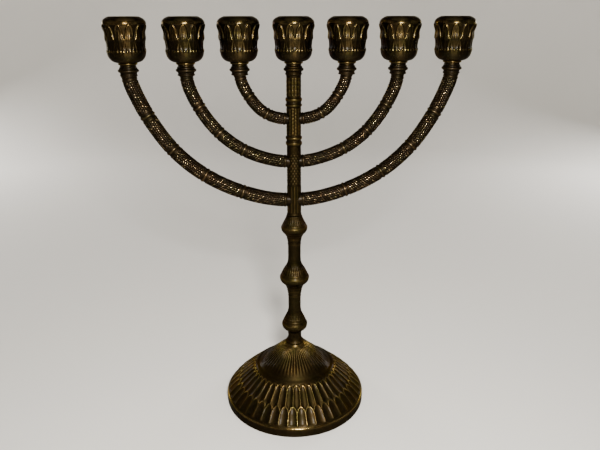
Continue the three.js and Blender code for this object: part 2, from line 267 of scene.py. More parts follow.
def antique_brass(name, stops, rough_low=0.58, rough_high=0.16, shift=0.0, grime=0.35, scale=1.0, bump=0.25, coat=0.08, drawn=0.0):
    """Cast brass with a dark patina in the hollows and rubbed metal on everything that stands proud, plus the painted
    highlights and painted shade that the base's relief sets in the same attribute.
    """
    m = bpy.data.materials.new(name)
    m.use_nodes = True
    nt = m.node_tree
    N, L = nt.nodes, nt.links
    N.clear()
    out = N.new("ShaderNodeOutputMaterial")
    bsdf = N.new("ShaderNodeBsdfPrincipled")
    L.new(bsdf.outputs[0], out.inputs[0])
    co = N.new("ShaderNodeTexCoord")

    def noise(sc, detail, rough=0.55):
        n = N.new("ShaderNodeTexNoise")
        n.inputs["Scale"].default_value = sc * scale
        n.inputs["Detail"].default_value = detail
        n.inputs["Roughness"].default_value = rough
        L.new(co.outputs["Object"], n.inputs["Vector"])
        return n

    def maths(op, a, b=None, clamp=False):
        n = N.new("ShaderNodeMath")
        n.operation = op
        n.use_clamp = clamp
        for k, v in enumerate((a, b)):
            if v is None:
                continue
            if isinstance(v, (int, float)):
                n.inputs[k].default_value = v
            else:
                L.new(v, n.inputs[k])
        return n.outputs[0]

    wear_and_painted_light = N.new("ShaderNodeAttribute")
    wear_and_painted_light.attribute_name = "wear_and_painted_light"
    big, mid, fine = noise(55, 3), noise(420, 4), noise(2600, 3, 0.6)
    # rubbed metal follows the relief, broken up by handling and tarnish; the same attribute also holds painted
    # highlights and painted shade on the base
    v = maths("MULTIPLY", maths("SUBTRACT", big.outputs["Fac"], 0.5), grime * 1.1)
    v2 = maths("MULTIPLY", maths("SUBTRACT", mid.outputs["Fac"], 0.5), grime)
    w = maths("ADD", maths("ADD", wear_and_painted_light.outputs["Fac"], v), maths("ADD", v2, shift), clamp=True)
    col = ramp(N, stops)
    L.new(w, col.inputs["Fac"])
    # a little hue drift, towards green-brown in places and red-brown in others
    tint = N.new("ShaderNodeMix")
    tint.data_type = "RGBA"
    tint.blend_type = "MULTIPLY"
    tint.inputs["Factor"].default_value = 1.0
    hue = ramp(N, [(0.35, (0.88, 0.98, 0.82)), (0.52, (1, 1, 1)), (0.68, (1.0, 0.90, 0.86))])
    hue_noise = noise(110, 2)
    L.new(hue_noise.outputs["Fac"], hue.inputs["Fac"])
    L.new(col.outputs["Color"], tint.inputs[6])
    L.new(hue.outputs["Color"], tint.inputs[7])
    L.new(tint.outputs[2], bsdf.inputs["Base Color"])
    # roughness falls where the metal is rubbed
    polish = N.new("ShaderNodeAttribute")
    polish.attribute_name = "polish"
    r = maths("ADD", maths("MULTIPLY", w, rough_high - rough_low), rough_low)
    r = maths("SUBTRACT", r, maths("MULTIPLY", polish.outputs["Fac"], 0.40))
    r = maths("ADD", r, maths("MULTIPLY", maths("SUBTRACT", fine.outputs["Fac"], 0.5), 0.16))
    r = maths("ADD", r, maths("MULTIPLY", maths("SUBTRACT", mid.outputs["Fac"], 0.5), 0.18))
    r = maths("MAXIMUM", r, 0.10, clamp=True)
    L.new(r, bsdf.inputs["Roughness"])
    bsdf.inputs["Metallic"].default_value = 1.0
    # tarnish keeps the grazing reflections dull
    bsdf.inputs["Specular Tint"].default_value = (0.43, 0.42, 0.38, 1)
    # turning and filing marks run round the axis, and draw the highlights out along the profile
    bsdf.inputs["Anisotropic"].default_value = drawn
    bsdf.inputs["Anisotropic Rotation"].default_value = 0.25
    bsdf.inputs["Coat Weight"].default_value = coat
    bsdf.inputs["Coat Roughness"].default_value = 0.22
    # casting grain and small dents
    height = maths("ADD", maths("MULTIPLY", fine.outputs["Fac"], 0.35), mid.outputs["Fac"])
    b = N.new("ShaderNodeBump")
    b.inputs["Strength"].default_value = bump
    b.inputs["Distance"].default_value = 0.00035
    L.new(height, b.inputs["Height"])
    L.new(b.outputs["Normal"], bsdf.inputs["Normal"])
    return m


DARK = (0.0080, 0.0052, 0.0017)
UMBER = (0.020, 0.0135, 0.0045)
BRONZE = (0.062, 0.042, 0.0130)
GOLD = (0.190, 0.134, 0.046)
BRIGHT = (0.520, 0.400, 0.210)

BRASS_STOPS = [(0.0, DARK), (0.28, UMBER), (0.55, BRONZE), (0.82, GOLD), (1.0, BRIGHT)]
ARM_STOPS = [(0.0, (0.0062, 0.0042, 0.0020)), (0.28, (0.0160, 0.0108, 0.0052)), (0.52, (0.062, 0.043, 0.0205)),
             (0.80, (0.195, 0.148, 0.078)), (1.0, (0.580, 0.480, 0.330))]

mat_base = antique_brass("base_antique_brass", BRASS_STOPS, rough_low=0.66, rough_high=0.20, coat=0.03, drawn=0.6)
mat_stem = antique_brass("stem_antique_brass", BRASS_STOPS, coat=0.02)
mat_arm = antique_brass("arm_antique_brass", ARM_STOPS, rough_low=0.60, rough_high=0.22, coat=0.03)
mat_cup = antique_brass("cup_antique_brass", BRASS_STOPS, coat=0.05, drawn=0.7)


def plated_steel(name):
    m = bpy.data.materials.new(name)
    m.use_nodes = True
    nt = m.node_tree
    N, L = nt.nodes, nt.links
    bsdf = N["Principled BSDF"]
    co = N.new("ShaderNodeTexCoord")
    n = N.new("ShaderNodeTexNoise")
    n.inputs["Scale"].default_value = 500
    n.inputs["Detail"].default_value = 5
    L.new(co.outputs["Object"], n.inputs["Vector"])
    c = ramp(N, [(0.3, (0.16, 0.13, 0.10)), (0.5, (0.33, 0.31, 0.28)), (0.7, (0.48, 0.46, 0.42))])
    L.new(n.outputs["Fac"], c.inputs["Fac"])
    L.new(c.outputs["Color"], bsdf.inputs["Base Color"])
    r = ramp(N, [(0.3, (0.6, 0.6, 0.6)), (0.7, (0.34, 0.34, 0.34))])
    L.new(n.outputs["Fac"], r.inputs["Fac"])
    L.new(r.outputs["Color"], bsdf.inputs["Roughness"])
    bsdf.inputs["Metallic"].default_value = 1.0
    b = N.new("ShaderNodeBump")
    b.inputs["Strength"].default_value = 0.2
    b.inputs["Distance"].default_value = 0.0002
    L.new(n.outputs["Fac"], b.inputs["Height"])
    L.new(b.outputs["Normal"], bsdf.inputs["Normal"])
    return m


mat_steel = plated_steel("fastener_steel")


def place(ob, material, slot, body, *nodes):
    ob.data.materials.clear()
    ob.data.materials.append(material)
    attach(ob, body)
    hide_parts(*nodes)
    return ob


# ------------------------------------------------------------------ base

UPPER_TOP, LOWER_TOP, LOWER_END = 32.5, 44.8, 54.9
N_ARCH, N_FLUTE = 46, 56


def base_relief(th, r, z, s):
    p = math.pi * r / N_ARCH                           # half the width of a cell
    a = (th * N_ARCH / (2 * math.pi)) % 1.0            # 0..1 across an upper cell
    x1 = np.abs(a - 0.5) * 2 * p                       # from the upper cell's centre line
    x2 = p - x1                                        # from the lower cell's centre line
    cu, cl = UPPER_TOP + 3.7, LOWER_TOP + 4.4          # where the pointed heads spring from
    qu = ((x1 / p) ** 2 + (np.maximum(cu - r, 0) / (cu - UPPER_TOP)) ** 1.7) ** 0.5
    ql = ((x2 / p) ** 2 + (np.maximum(cl - r, 0) / (cl - LOWER_TOP)) ** 1.7) ** 0.5
    in_lower = (ql < 1.0) & (r > LOWER_TOP)
    in_upper = (qu < 1.0) & (r > UPPER_TOP) & ~in_lower
    # smooth scoops that rise to a thin edge all round
    over = np.clip((ql - 1) / 0.45, 0, 1)
    over = np.where(r > LOWER_TOP - 2.5, over * (2 - over), 1.0)
    scoop_u = np.clip(1 - qu ** 2, 0, 1) * over
    scoop_l = np.clip(1 - ql ** 2, 0, 1)
    scoop = np.where(in_lower, scoop_l, np.where(in_upper, scoop_u, 0.0))
    du, dl = np.abs(1 - qu) * p, np.abs(1 - ql) * p
    d = np.where(in_lower, dl, np.where(r > LOWER_TOP - 1.5, np.minimum(du, dl), du))
    ridge = bell(d, 0.30)
    fade = 1 - smoothstep(LOWER_END - 1.0, LOWER_END + 0.2, r)
    zone = smoothstep(31.6, 32.6, r) * fade * (z > 5)
    spandrel = ((~in_lower) & (~in_upper) & (r > UPPER_TOP - 0.6) & (r < 37.5)).astype(float)
    h_arch = (-0.70 * scoop + 0.17 * ridge + 0.02 - 0.26 * spandrel * smoothstep(0.25, 0.9, du)) * zone
    # fine radial flutes under the crown, strongest in the middle of their length
    f = np.cos(th * N_FLUTE)
    amp = 0.08 + 0.15 * smoothstep(8.5, 14, r) - 0.07 * smoothstep(19, 25, r)
    flute = (np.sqrt(np.clip(0.5 + 0.5 * f, 0, 1)) - 0.62) * 1.5
    zf = window(r, 8.2, 10.0, 22.0, 27.6) * (z > 25)
    collar = 0.45 * smoothstep(8.3, 10.0, r) * (1 - smoothstep(10.0, 17.5, r)) * (z > 40)
    h = h_arch + 1.15 * amp * flute * zf + collar
    # painted highlight: the metal round the crown top is painted lighter, all the way round, to strengthen the
    # highlight streak there
    top = 1 - smoothstep(9.0, 19.0, r)
    plain = 0.17 + 0.29 * top * (z > 25)
    w = plain + (0.32 * smoothstep(-0.3, 0.5, flute) - 0.14) * zf
    w = np.where(zone > 0.02, 0.22 + (0.46 * ridge * (in_lower | in_upper | (spandrel > 0)) - 0.06 + 0.03 * scoop) * zone, w)
    w = np.where((r > 27.6) & (r < 31.8), 0.24, w)
    # painted highlight line: the rubbed shoulder above the foot is painted lighter in a band where the highlight falls,
    # and made smoother there
    shoulder_highlight = bell(z - 6.85, 0.75) * (r > 54.5)
    w = np.maximum(w, 0.64 * shoulder_highlight)
    # painted shade: the upright foot wall is painted dark, with a slightly lighter line near its lower edge
    w = np.where((z < 5.6) & (r > 55.2), 0.08 + 0.06 * bell(z - 0.6, 0.8), w)
    gloss = 0.16 * (1 - smoothstep(14.0, 19.0, r)) * (z > 25) + 0.50 * shoulder_highlight + 0.30 * ridge * zone * (zone > 0.02)
    return h, w, gloss


def make_base():
    outer = spline([(56.2, 5.6), (56.2, 6.0), (56.0, 6.6), (55.65, 7.05), (55.2, 7.4), (54.95, 7.75), (54.8, 8.15), (54.35, 8.95), (53.4, 10.1), (51.6, 12.1), (46.2, 17.3), (38.0, 24.4), (33.2, 28.6), (31.0, 30.3)], 0.36)
    cove = spline([(31.0, 30.3), (30.1, 30.7), (29.0, 31.2), (28.0, 32.0)], 0.36)
    upper = spline([(28.0, 32.0), (25, 34.8), (22.0, 37.4), (18, 40.75), (14.0, 44.05), (11.6, 46.05), (9.9, 47.6), (8.7, 49.0), (8.0, 50.0), (7.75, 50.4)], 0.42)
    under = spline([(9.0, CROWN_UNDER), (14.0, 40.4), (26.0, 30.4), (38.0, 20.8), (48.0, 11.6), (53.2, 5.6), (53.8, 4.6)], 4.0)
    prof = join(
        [(BORE, CROWN_UNDER), (5.0, CROWN_UNDER)],
        [(5.0, CROWN_UNDER), (8.8, CROWN_UNDER), (9.0, CROWN_UNDER)],
        under,
        [(53.8, 4.6), (53.8, 0.35), (53.95, 0.08), (54.2, 0.0)],
        [(54.2, 0.0), (55.7, 0.0), (56.05, 0.1), (56.2, 0.4)],
        spline([(56.2, 0.4), (56.2, 5.0)], 1.2),
        [(56.2, 5.0), (56.2, 5.6)],
        outer, cove, upper,
        [(7.75, 50.4), (7.6, 50.55), (7.3, BASE_TOP)],
        [(7.3, BASE_TOP), (5.5, BASE_TOP), (3.0, BASE_TOP), (BORE, BASE_TOP - 0.15)],
        [(BORE, BASE_TOP - 0.15), (BORE, 47.0), (BORE, CROWN_UNDER)],
    )
    ob = turned("base_shell_cast", prof, 736, base_relief, phase=math.radians(-88.6))
    place(ob, mat_base, "base_brass", "base", "base_shell")


make_base()

# ------------------------------------------------------------------ stem sections

RIBS = 30


def stem_relief(knop_top, flare_low, flare_high, lines, seam, foot_ribs=None):
    """Fine ribs and small beads on the flared side of a knop, ring lines on its other side, plain shaft."""
    def f(th, r, z, s):
        c = np.cos(th * RIBS)
        ribs = window(z, flare_low - 0.8, flare_low + 0.6, flare_high - 1.0, flare_high + 0.6)
        rib_h = 0.21 * (np.sqrt(np.clip(0.5 + 0.5 * c, 0, 1)) - 0.6) * ribs * np.clip(r / 8.0, 0.55, 1.1)
        bead = window(z, flare_low - 0.3, flare_low + 0.5, flare_low + 3.2, flare_low + 4.0)
        beads = 0.12 * bead * (0.5 + 0.5 * np.cos(2 * math.pi * (z - flare_low) / 1.5)) * (0.5 + 0.5 * c)
        h = rib_h + beads
        w = 0.11 - 0.04 * ribs + 0.16 * ribs * smoothstep(-0.02, 0.18, rib_h + beads)
        for at, width, height in lines:
            b = bell(z - at, width)
            h = h + height * b
            w = w + (0.25 if width > 0.8 else 0.22) * b
        w = w + 0.06 * bell(z - knop_top, 1.6) + 0.10 * bell(z - seam, 1.0)
        return h, np.clip(w, 0, 1)
    return f


def make_stem(name, outline, knop, low, high, lines, seam):
    bottom, top = outline[0][1], outline[-1][1]
    r0, r1 = outline[0][0], outline[-1][0]
    outer = spline(outline, 0.34)
    prof = join(
        [(BORE, bottom), (BORE + 0.15, bottom), (r0 - 0.25, bottom), (r0 - 0.05, bottom + 0.08)],
        [(r0 - 0.05, bottom + 0.08), tuple(outer[1])],
        outer[1:-1],
        [tuple(outer[-2]), (r1 - 0.08, top - 0.06), (r1 - 0.3, top), (BORE + 0.15, top), (BORE, top - 0.1)],
        spline([(BORE, top - 0.1), (BORE, bottom)], 6.0),
    )
    ob = turned(name + "_turned", prof, 180, stem_relief(knop, low, high, lines, seam))
    place(ob, mat_stem, "stem_brass", "tree", name)


make_stem("stem_lower", [
    (7.3, 50.9), (7.0, 51.5), (6.2, 52.6), (5.4, 54.6), (5.3, 56.4), (5.5, 58.6), (5.65, 59.9), (7.2, 61.6), (9.2, 63.4), (10.1, 65.6), (9.8, 67.6),
    (8.4, 70.9), (6.7, 74.5), (5.4, 77.8), (4.95, 81.0), (4.95, 85.5), (4.95, 90.0), (5.1, 93.85)],
    65.6, 72.0, 79.5, [(64.0, 0.3, 0.12), (67.5, 1.0, 0.20), (70.3, 0.34, 0.20), (72.2, 0.3, 0.14), (91.9, 0.4, 0.20)], 51.4)
make_stem("stem_middle", [
    (5.5, 94.15), (5.55, 95.5), (5.7, 97.0), (6.5, 99.4), (8.3, 102.6), (10.5, 104.4), (11.3, 106.4), (11.2, 108.2), (9.8, 111.4),
    (8.1, 114.8), (6.4, 117.6), (5.3, 120.4), (4.9, 125.0), (4.9, 129.0), (4.9, 133.0), (5.1, 137.85)],
    106.6, 112.2, 121.0, [(96.4, 0.4, 0.22), (98.9, 0.3, 0.16), (103.2, 0.42, 0.22), (108.3, 1.05, 0.22), (111.1, 0.34, 0.20), (114.6, 0.3, 0.10), (135.6, 0.4, 0.20)], 94.6)
make_stem("stem_upper", [
    (5.4, 138.15), (5.5, 139.6), (5.9, 141.4), (8.1, 144.8), (9.6, 146.6), (9.95, 148.4), (9.5, 150.2), (8.1, 152.9), (6.7, 155.8), (5.7, 158.85)],
    148.4, 152.2, 158.8, [(140.2, 0.4, 0.22), (142.6, 0.3, 0.16), (145.3, 0.42, 0.24), (149.5, 0.95, 0.24), (151.7, 0.32, 0.20)], 138.6)

# ------------------------------------------------------------------ the seat under every cup


def seat_profile(r0, z0):
    """From the side of a tip, over two small rings and the thin flange, down into the stud's hole."""
    return join(
        spline([(r0, z0), (r0 + 0.28, z0 + 0.35), (r0 + 0.05, z0 + 0.75)], 0.2),
        spline([(r0 + 0.05, z0 + 0.75), (5.3, 261.5), (5.85, 261.75), (5.95, 262.2), (5.7, 262.6), (5.55, 263.0),
                (5.6, 263.6), (5.9, 264.1)], 0.2),
        spline([(5.9, 264.1), (6.6, 264.4), (6.95, 264.8), (6.98, 265.4), (6.75, 265.95), (6.2, 266.3)], 0.2),
        spline([(6.2, 266.3), (6.0, 266.7), (6.0, 267.15), (5.8, 267.4)], 0.25),
        [(5.8, 267.4), (4.4, 267.4), (2.5, 267.4), (2.3, 267.25), (2.3, 262.0), (2.3, 257.8)])


def seat_wear(r, z):
    w = 0.11 + 0.20 * bell(z - 265.0, 0.45) + 0.14 * bell(z - 262.0, 0.35)
    return np.where(r < 5.0, 0.2, w)


# ------------------------------------------------------------------ branch column


def column_relief(th, r, z, s):
    R = COL_R
    h = np.zeros_like(z)
    w = np.full_like(z, 0.14)
    # chains of slender leaves that point down, z 247 to 260
    n = 12
    u = (th * n / (2 * math.pi)) % 1.0 - 0.5
    x = u * 2 * math.pi * R / n
    t = ((261.0 - z) / 3.2) % 1.0
    half = 1.12 * np.sqrt(np.clip(1 - ((t - 0.35) / 0.66) ** 2, 0, 1))
    leaf = np.clip(1 - (x / np.maximum(half, 0.05)) ** 2, 0, 1) * (half > 0.06)
    zone = window(z, 246.9, 247.7, 259.0, 260.2)
    hh = (0.42 * np.sqrt(leaf) * (0.6 + 0.4 * (1 - t)) - 0.16)
    h += zone * hh
    w = np.where(zone > 0.4, 0.12 + 0.66 * np.sqrt(leaf) * (0.55 + 0.45 * bell(t - 0.45, 0.3)), w)
    # beaded reeds, z 219.6 to 239
    n = 13
    u = (th * n / (2 * math.pi)) % 1.0 - 0.5
    k = np.floor(th * n / (2 * math.pi))
    t = (z / 2.5 + 0.5 * (k % 2)) % 1.0
    reed = 1 - (2 * u) ** 2
    bead = reed * (0.45 + 0.55 * np.sqrt(np.clip(1 - (2 * (t - 0.5)) ** 2, 0, 1)))
    zone = window(z, 219.4, 220.2, 238.4, 239.2)
    h += zone * (0.40 * bead - 0.18)
    w = np.where(zone > 0.4, 0.10 + 0.62 * smoothstep(0.35, 0.95, bead), w)
    # small scales, z 183 to 209, fading out upwards
    n = 12
    row = np.floor((z - 183) / 1.9)
    tz = ((z - 183) / 1.9) % 1.0
    u = (th * n / (2 * math.pi) + 0.5 * (row % 2)) % 1.0 - 0.5
    d = np.sqrt((u * 1.7) ** 2 + ((tz - 0.5) * 1.25) ** 2)
    sc = np.sqrt(np.clip(1 - (2 * d) ** 2 * 0.9, 0, 1))
    zone = window(z, 182.2, 183.4, 203.5, 209.5)
    h += zone * (0.32 * sc - 0.12)
    w = np.where(zone > 0.25, 0.12 + 0.55 * sc * zone, w)
    # plain reeds at the foot
    n = 13
    c = np.cos(th * n)
    zone = window(z, 161.2, 162.0, 181.2, 182.4)
    reed = np.sqrt(np.clip(0.5 + 0.5 * c, 0, 1))
    h += zone * (0.36 * reed - 0.16)
    w = np.where(zone > 0.4, 0.10 + 0.52 * smoothstep(0.5, 1.0, reed), w)
    # turned rings stay smooth and take the rubbing
    for at, hw in ((213.5, 1.0), (217.5, 0.9), (240.7, 0.7), (244.6, 1.0)):
        w = np.maximum(w, 0.72 * bell(z - at, hw))
    w = np.where((z > 260.6) & (r > 5), seat_wear(r, z), w)
    w = np.maximum(w, 0.4 * bell(z - 159.8, 0.5))
    w = w * 0.64
    inner = r < 4.6
    h = np.where(inner | (z > 260.6), 0, h)
    w = np.where(inner, 0.2, w)
    return h, w


def ring_band(z0, z1, K, R):
    """Rounded turned ring between two heights."""
    m = (z0 + z1) / 2
    hw = (z1 - z0) / 2
    a = np.linspace(-math.pi / 2, math.pi / 2, 9)
    return [(R + (K - R) * math.cos(t) ** 0.8, m + hw * 1.35 * math.sin(t)) for t in a]


def make_column():
    R, K = COL_R, 5.95
    foot = SEAMS[2] + 0.15
    zz = []
    prof = [(BORE, 166.1), (BORE, 163.0), (BORE, foot + 0.1), (BORE + 0.15, foot), (5.25, foot), (5.5, foot + 0.2), (5.55, foot + 0.6), (5.4, foot + 1.1), (R, foot + 1.8)]
    def shaft(z0, z1, step=0.3):
        n = max(2, int(round((z1 - z0) / step)))
        return [(R, z) for z in np.linspace(z0, z1, n + 1)][1:-1]
    prof += shaft(foot + 1.8, 211.9)
    prof += ring_band(212.4, 214.6, K, R)
    prof += [(5.3, 215.6)]
    prof += ring_band(216.6, 218.4, K, R)
    prof += shaft(218.7, 239.5)
    prof += ring_band(240.0, 241.4, K, R)
    prof += [(5.35, 242.2), (5.35, 242.9)]
    prof += ring_band(243.6, 245.6, K, R)
    prof += shaft(246.0, 260.3)
    prof += [tuple(p) for p in seat_profile(R, 260.3)]
    prof = [(0.0, 166.1)] + prof + [(0.0, 257.7)]
    ob = turned("branch_column_cast", prof, 156, column_relief, phase=math.radians(-90))
    place(ob, mat_stem, "stem_brass", "tree", "branch_column")


make_column()

# ------------------------------------------------------------------ arms


def arm_mesh(rank, side):
    spec = ARMS[rank]
    R0, X, n_rows = spec["radius"], spec["cup_x"], spec["rows"]
    step = 0.25
    line = resample(spline(spec["path"], 0.5), 0.05)
    # only up to where the tip stands upright under the cup
    keep = line[:, 1] <= 260.2
    keep[: len(keep) // 2] = True
    line = line[keep]
    ds = np.r_[0, np.cumsum(np.linalg.norm(np.diff(line, axis=0), axis=1))]
    tan = np.gradient(line, axis=0)
    tan /= np.linalg.norm(tan, axis=1, keepdims=True)
    tan = np.stack([blur(tan[:, 0], 60), blur(tan[:, 1], 60)], 1)
    tan /= np.linalg.norm(tan, axis=1, keepdims=True)
    cols = n_rows * 8
    phi = np.arange(cols) * 2 * math.pi / cols
    s_first = np.interp(R0 * 0.6 + 2.0, line[:, 0], ds)
    s_end = ds[-1]
    ns = int(round((s_end - s_first) / step)) + 1
    s_row = np.linspace(s_first, s_end, ns)
    # each section point starts where the tube meets the column
    clear = COL_R + 0.32
    y = R0 * np.sin(phi)
    x_start = np.sqrt(np.maximum(clear ** 2 - y ** 2, 0.0))
    s0 = np.zeros(cols)
    for j in range(cols):
        # position of the point along the tube for every s, first one beyond the column
        px = line[:, 0] - R0 * np.cos(phi[j]) * tan[:, 1]
        s0[j] = np.interp(x_start[j], px[:600], ds[:600])
    fall = np.exp(-((s_row - s_first) / 4.0) ** 1.5)
    S = s_row[:, None] + (s0 - s_first)[None, :] * fall[:, None]
    cx, cz = np.interp(S, ds, line[:, 0]), np.interp(S, ds, line[:, 1])
    tx, tz = np.interp(S, ds, tan[:, 0]), np.interp(S, ds, tan[:, 1])
    ll = np.sqrt(tx ** 2 + tz ** 2)
    tx, tz = tx / ll, tz / ll
    PH = np.repeat(phi[None, :], ns, 0)

    ring_s = [float(np.interp(x, line[:, 0], ds)) for x in spec["rings"]]
    v = PH * n_rows / (2 * math.pi)
    k = np.floor(v)
    fv = v - k - 0.5
    # small beads in staggered rows, each one a little different, drawn out obliquely near the column
    pitch = 1.75
    lean = 0.25 + 0.55 * (1 - smoothstep(0.30, 0.55, S / s_end))
    q = S / pitch + fv * lean + 0.5 * (k % 2) + 0.10 * hash01(k, 1.0)
    n = np.floor(q)
    fq = q - n - 0.5
    chance = hash01(k, n)
    d2 = (fv / 0.52) ** 2 + (fq / 0.52) ** 2
    bead = np.sqrt(np.clip(1 - d2 ** 1.6, 0, 1))
    lean_u, lean_v = hash01(k, n, 3.0) - 0.5, hash01(k, n, 7.0) - 0.5
    texture = (0.44 + 0.14 * chance) * bead - 0.26 + 0.16 * bead * (lean_u * fv + lean_v * fq)
    tw = (0.13 + 0.66 * chance ** 1.8) * smoothstep(0.64, 0.98, bead)
    shine = 0.62 * smoothstep(0.60, 0.95, bead)
    # bands: a round ring in a shallow neck, with a fine ring at each end
    rings = np.zeros_like(S)
    smooth_zone = np.zeros_like(S)
    for i, rs in enumerate(ring_s):
        at = [(-2.9, 0.65, 0.32), (0.1, 0.90, 0.52), (2.9, 0.62, 0.32)]
        lo, hi = rs - 3.35, rs + 3.35
        if i == 0:
            at = [(clear + 1.25 - rs, 0.75, 0.45)]
            lo, hi = 0.0, clear + 2.3
        for off, wide, high in at:
            rings = np.maximum(rings, high * np.sqrt(np.clip(1 - ((S - rs - off) / wide) ** 2, 0, 1)))
        smooth_zone = np.maximum(smooth_zone, window(S, lo - 0.3, lo, hi, hi + 0.3))
    tip = smoothstep(s_end - 2.6, s_end - 1.8, S)
    tip_ring = 0.30 * np.sqrt(np.clip(1 - ((S - (s_end - 0.9)) / 0.7) ** 2, 0, 1))
    smooth_zone = np.maximum(smooth_zone, tip)
    rings = np.maximum(rings, tip_ring)
    H = (1 - smooth_zone) * texture + rings - 0.10 * smooth_zone * (rings < 0.05)
    W = (1 - smooth_zone) * tw + smooth_zone * 0.12 + 0.55 * rings
    G = (1 - smooth_zone) * shine + 0.5 * rings
    first = smoothstep(0.0, 0.8, S - (clear - 0.2))
    H *= first
    RR = R0 + H
    V = np.stack([cx - RR * np.cos(PH) * tz, RR * np.sin(PH), cz + RR * np.cos(PH) * tx], -1)
    # the section's first ring lies on the column's clearance cylinder
    rad = np.hypot(V[..., 0], V[..., 1])
    push = (rad < clear) & (V[..., 2] < 262)
    V[..., 0] = np.where(push, np.sqrt(np.maximum(clear ** 2 - np.minimum(np.abs(V[..., 1]), clear * 0.999) ** 2, 1e-4)), V[..., 0])

    # upright seat on the tip: same column order, section centre on the cup's axis
    seat = seat_profile(R0 + 0.05, 260.5)
    sr, sz = seat[:, 0][:, None], seat[:, 1][:, None]
    Vs = np.stack([X - sr * np.cos(phi)[None, :], sr * np.sin(phi)[None, :] + 0 * sz, sz + 0 * phi[None, :]], -1)
    Ws = np.where((sr < 5.0) & (sz < 267.3) & (sr < 2.6), 0.2, seat_wear(sr, sz)) + 0 * phi[None, :]
    # closing at the column: mouth, tenon, tenon end
    c0 = V[0].mean(0)
    zc = spec["path"][0][1]
    rings_in = []
    for f in (0.85, 0.62):
        P = c0 + (V[0] - c0) * f
        P[:, 0] = np.sqrt(np.maximum(clear ** 2 - P[:, 1] ** 2, 1e-4))
        rings_in.append(P)
    for tr, txx in ((2.2, None), (2.2, 3.6), (2.2, 2.1), (2.0, 1.9)):
        P = np.zeros((cols, 3))
        P[:, 1] = tr * np.sin(phi)
        P[:, 2] = zc + tr * np.cos(phi)
        P[:, 0] = np.sqrt(clear ** 2 - P[:, 1] ** 2) if txx is None else txx
        rings_in.append(P)
    Vi = np.array(rings_in[::-1])
    allv = np.vstack([Vi.reshape(-1, 3), V.reshape(-1, 3), Vs.reshape(-1, 3)])
    wear_and_painted_light = np.r_[np.full(Vi.shape[0] * cols, 0.2), W.ravel(), Ws.ravel()]
    gloss = np.r_[np.zeros(Vi.shape[0] * cols), G.ravel(), np.zeros(Ws.size), 0, 0]
    rows = Vi.shape[0] + ns + len(seat)
    quads = grid_faces(rows, cols)
    a, b = len(allv), len(allv) + 1
    allv = np.vstack([allv, [1.9, 0, zc], [X, 0, 257.7]])
    wear_and_painted_light = np.r_[wear_and_painted_light, 0.2, 0.2]
    j = np.arange(cols)
    j2 = (j + 1) % cols
    last = (rows - 1) * cols
    tris = np.vstack([np.stack([np.full(cols, a), j2, j], 1), np.stack([np.full(cols, b), last + j, last + j2], 1)])
    # section order: cos -> up, sin -> +Y, rows run outwards; check and fix the facing once
    flip = side < 0
    if side < 0:
        allv[:, 0] *= -1
    p = allv[quads[:, 0]]
    vol = np.einsum("ij,ij->", p, np.cross(allv[quads[:, 1]], allv[quads[:, 2]])) + np.einsum(
        "ij,ij->", p, np.cross(allv[quads[:, 2]], allv[quads[:, 3]]))
    if vol < 0:
        quads, tris = quads[:, ::-1], tris[:, ::-1]
    name = f"arm_{rank}_{'right' if side > 0 else 'left'}"
    ob = make_mesh(name + "_cast", allv, quads, tris, wear_and_painted_light, polish=gloss)
    place(ob, mat_arm, "arm_brass", "tree", name)


for rank in ARMS:
    for side in (-1, 1):
        arm_mesh(rank, side)

# ------------------------------------------------------------------ cups

LEAVES = 12
_WZ = [284.6, 285.4, 286.2, 287.2, 288.5, 290.0, 291.5, 292.5, 293.4, 294.3, 295.0]
_WX = [3.33, 3.20, 2.80, 2.42, 2.18, 2.02, 1.80, 1.55, 1.20, 0.70, 0.02]


